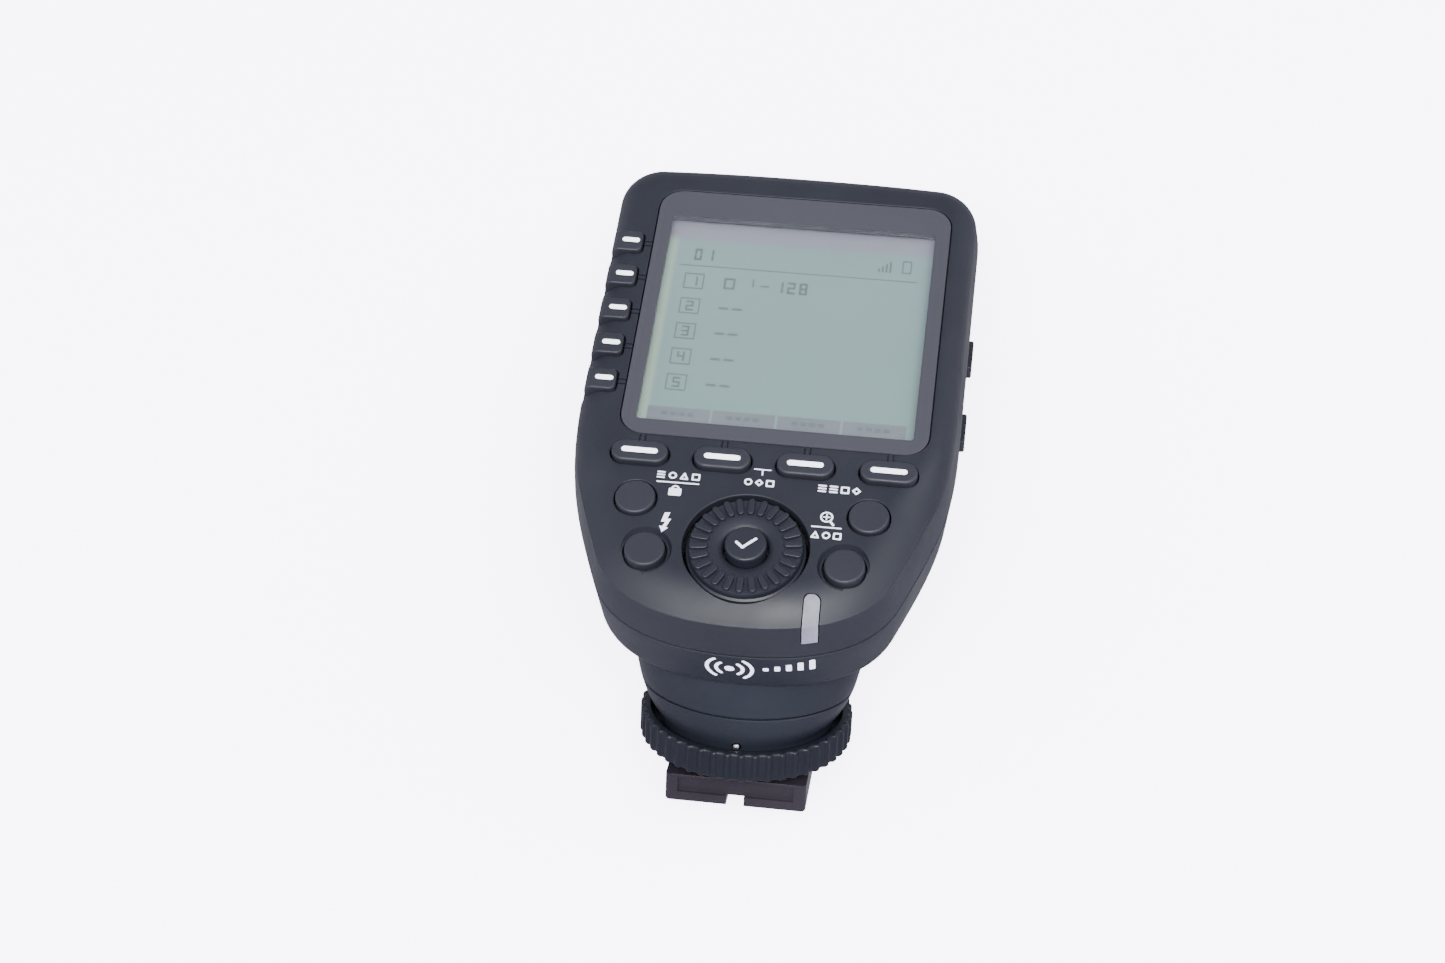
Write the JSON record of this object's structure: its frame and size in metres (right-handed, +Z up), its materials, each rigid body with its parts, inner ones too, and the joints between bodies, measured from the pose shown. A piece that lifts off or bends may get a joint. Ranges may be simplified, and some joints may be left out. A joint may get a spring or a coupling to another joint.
{
  "type": "wireless flash trigger",
  "caption": "Handheld-size radio trigger with a screen, keys and a dial on its face, an angled neck, a ribbed locking ring and a covered shoe foot.",
  "frame": {"origin": "middle of the footprint on the ground, with the trigger lying on its back", "axes": "+X to the right of the face, +Y along the body from the shoe foot to the screen end, +Z up"},
  "size_m": [0.0596, 0.103, 0.0511],
  "materials": {
    "casing": "fine satin moulded texture",
    "ring_plastic": "satin moulded plastic",
    "key_plastic": "satin moulded plastic",
    "screen_window": "clear polished window with a dark printed border",
    "display": "pale grey-green reflective display",
    "lamp_plastic": "translucent frosted plastic",
    "inner_plastic": "moulded plastic",
    "white_plastic": "white light guide",
    "circuit_board": "solder resist",
    "keymat_rubber": "silicone",
    "steel": "plated",
    "foot_metal": "satin",
    "gold_contacts": "gold plated",
    "cap_plastic": "semi-gloss moulded plastic",
    "cell_can": "printed sleeve"
  },
  "bodies": {
    "case": {"assist_lamp_lens": "lamp_plastic", "assist_switch_body": "inner_plastic", "backlight_panel": "white_plastic", "battery_cell_1": "cell_can", "battery_cell_2": "cell_can", "battery_spring_1": "steel", "battery_spring_2": "steel", "battery_tray": "inner_plastic", "beeper": "inner_plastic", "case_screw_1": "steel", "case_screw_2": "steel", "case_screw_3": "steel", "case_screw_4": "steel", "contact_block": "inner_plastic", "contact_pin_1": "gold_contacts", "contact_pin_2": "gold_contacts", "contact_pin_3": "gold_contacts", "contact_pin_4": "gold_contacts", "contact_pin_5": "gold_contacts", "dial_encoder": "inner_plastic", "foot_plate": "foot_metal", "foot_screw_1": "steel", "foot_screw_2": "steel", "front_shell": "casing", "lcd_frame": "inner_plastic", "lcd_panel": "display", "main_board": "circuit_board", "neck_collar": "casing", "power_switch_body": "inner_plastic", "radio_module": "steel", "rear_shell": "casing", "ring_stop_pin": "steel", "rubber_keymat": "keymat_rubber", "screen_lens": "screen_window", "status_lamp": "lamp_plastic", "sync_socket": "inner_plastic", "usb_socket": "steel"},
    "soft_key_1": {"soft_key_1": "key_plastic"},
    "soft_key_2": {"soft_key_2": "key_plastic"},
    "soft_key_3": {"soft_key_3": "key_plastic"},
    "soft_key_4": {"soft_key_4": "key_plastic"},
    "group_key_1": {"group_key_1": "key_plastic"},
    "group_key_2": {"group_key_2": "key_plastic"},
    "group_key_3": {"group_key_3": "key_plastic"},
    "group_key_4": {"group_key_4": "key_plastic"},
    "group_key_5": {"group_key_5": "key_plastic"},
    "mode_button": {"mode_button": "key_plastic"},
    "flash_button": {"flash_button": "key_plastic"},
    "menu_button": {"menu_button": "key_plastic"},
    "zoom_button": {"zoom_button": "key_plastic"},
    "set_button": {"set_button": "key_plastic"},
    "dial_wheel": {"dial_wheel": "key_plastic"},
    "power_switch_knob": {"power_switch_knob": "key_plastic"},
    "assist_switch_knob": {"assist_switch_knob": "key_plastic"},
    "clamp_washer": {"clamp_washer": "steel"},
    "locking_ring": {"locking_ring": "ring_plastic"},
    "foot_cap": {"foot_cap": "cap_plastic"},
    "battery_door": {"battery_door": "casing"}
  },
  "joints": [
    {"name": "soft_key_1_press", "type": "slide", "parent": "case", "child": "soft_key_1", "axis": [0, -0.289, -0.9573], "range_m": [0, 0.0007], "stiffness_N_per_m": 400},
    {"name": "soft_key_2_press", "type": "slide", "parent": "case", "child": "soft_key_2", "axis": [0, -0.289, -0.9573], "range_m": [0, 0.0007], "stiffness_N_per_m": 400},
    {"name": "soft_key_3_press", "type": "slide", "parent": "case", "child": "soft_key_3", "axis": [0, -0.289, -0.9573], "range_m": [0, 0.0007], "stiffness_N_per_m": 400},
    {"name": "soft_key_4_press", "type": "slide", "parent": "case", "child": "soft_key_4", "axis": [0, -0.289, -0.9573], "range_m": [0, 0.0007], "stiffness_N_per_m": 400},
    {"name": "group_key_1_press", "type": "slide", "parent": "case", "child": "group_key_1", "axis": [0, -0.289, -0.9573], "range_m": [0, 0.0007], "stiffness_N_per_m": 400},
    {"name": "group_key_2_press", "type": "slide", "parent": "case", "child": "group_key_2", "axis": [0, -0.289, -0.9573], "range_m": [0, 0.0007], "stiffness_N_per_m": 400},
    {"name": "group_key_3_press", "type": "slide", "parent": "case", "child": "group_key_3", "axis": [0, -0.289, -0.9573], "range_m": [0, 0.0007], "stiffness_N_per_m": 400},
    {"name": "group_key_4_press", "type": "slide", "parent": "case", "child": "group_key_4", "axis": [0, -0.289, -0.9573], "range_m": [0, 0.0007], "stiffness_N_per_m": 400},
    {"name": "group_key_5_press", "type": "slide", "parent": "case", "child": "group_key_5", "axis": [0, -0.289, -0.9573], "range_m": [0, 0.0007], "stiffness_N_per_m": 400},
    {"name": "mode_button_press", "type": "slide", "parent": "case", "child": "mode_button", "axis": [0, -0.289, -0.9573], "range_m": [0, 0.0007], "stiffness_N_per_m": 400},
    {"name": "flash_button_press", "type": "slide", "parent": "case", "child": "flash_button", "axis": [0, -0.289, -0.9573], "range_m": [0, 0.0007], "stiffness_N_per_m": 400},
    {"name": "menu_button_press", "type": "slide", "parent": "case", "child": "menu_button", "axis": [0, -0.289, -0.9573], "range_m": [0, 0.0007], "stiffness_N_per_m": 400},
    {"name": "zoom_button_press", "type": "slide", "parent": "case", "child": "zoom_button", "axis": [0, -0.289, -0.9573], "range_m": [0, 0.0007], "stiffness_N_per_m": 400},
    {"name": "set_button_press", "type": "slide", "parent": "case", "child": "set_button", "axis": [0, -0.289, -0.9573], "range_m": [0, 0.0007], "stiffness_N_per_m": 400},
    {"name": "dial_turn", "type": "hinge", "parent": "case", "child": "dial_wheel", "pos_m": [-0.00032, -0.01987, 0.04793], "axis": [0, 0.289, 0.9573], "continuous": true},
    {"name": "power_switch_slide", "type": "slide", "parent": "case", "child": "power_switch_knob", "axis": [0, -0.9573, 0.289], "range_m": [0, 0.0025]},
    {"name": "assist_switch_slide", "type": "slide", "parent": "case", "child": "assist_switch_knob", "axis": [0, -0.9573, 0.289], "range_m": [0, 0.0025]},
    {"name": "ring_lift", "type": "slide", "parent": "case", "child": "clamp_washer", "axis": [0, -0.729, -0.6846], "range_m": [0, 0.0009]},
    {"name": "ring_turn", "type": "hinge", "parent": "clamp_washer", "child": "locking_ring", "pos_m": [-0.00032, -0.03666, 0.01375], "axis": [0, -0.729, -0.6846], "range_deg": [0, 270]},
    {"name": "foot_cap_slide", "type": "slide", "parent": "case", "child": "foot_cap", "axis": [0, -0.6846, 0.729], "range_m": [0, 0.024]},
    {"name": "battery_door_slide", "type": "slide", "parent": "case", "child": "battery_door", "axis": [0, 0.9573, -0.289], "range_m": [0, 0.006]}
  ],
  "couplings": [
    {"joint": "ring_turn", "follows": "ring_lift", "rad_per_m": 5236}
  ]
}
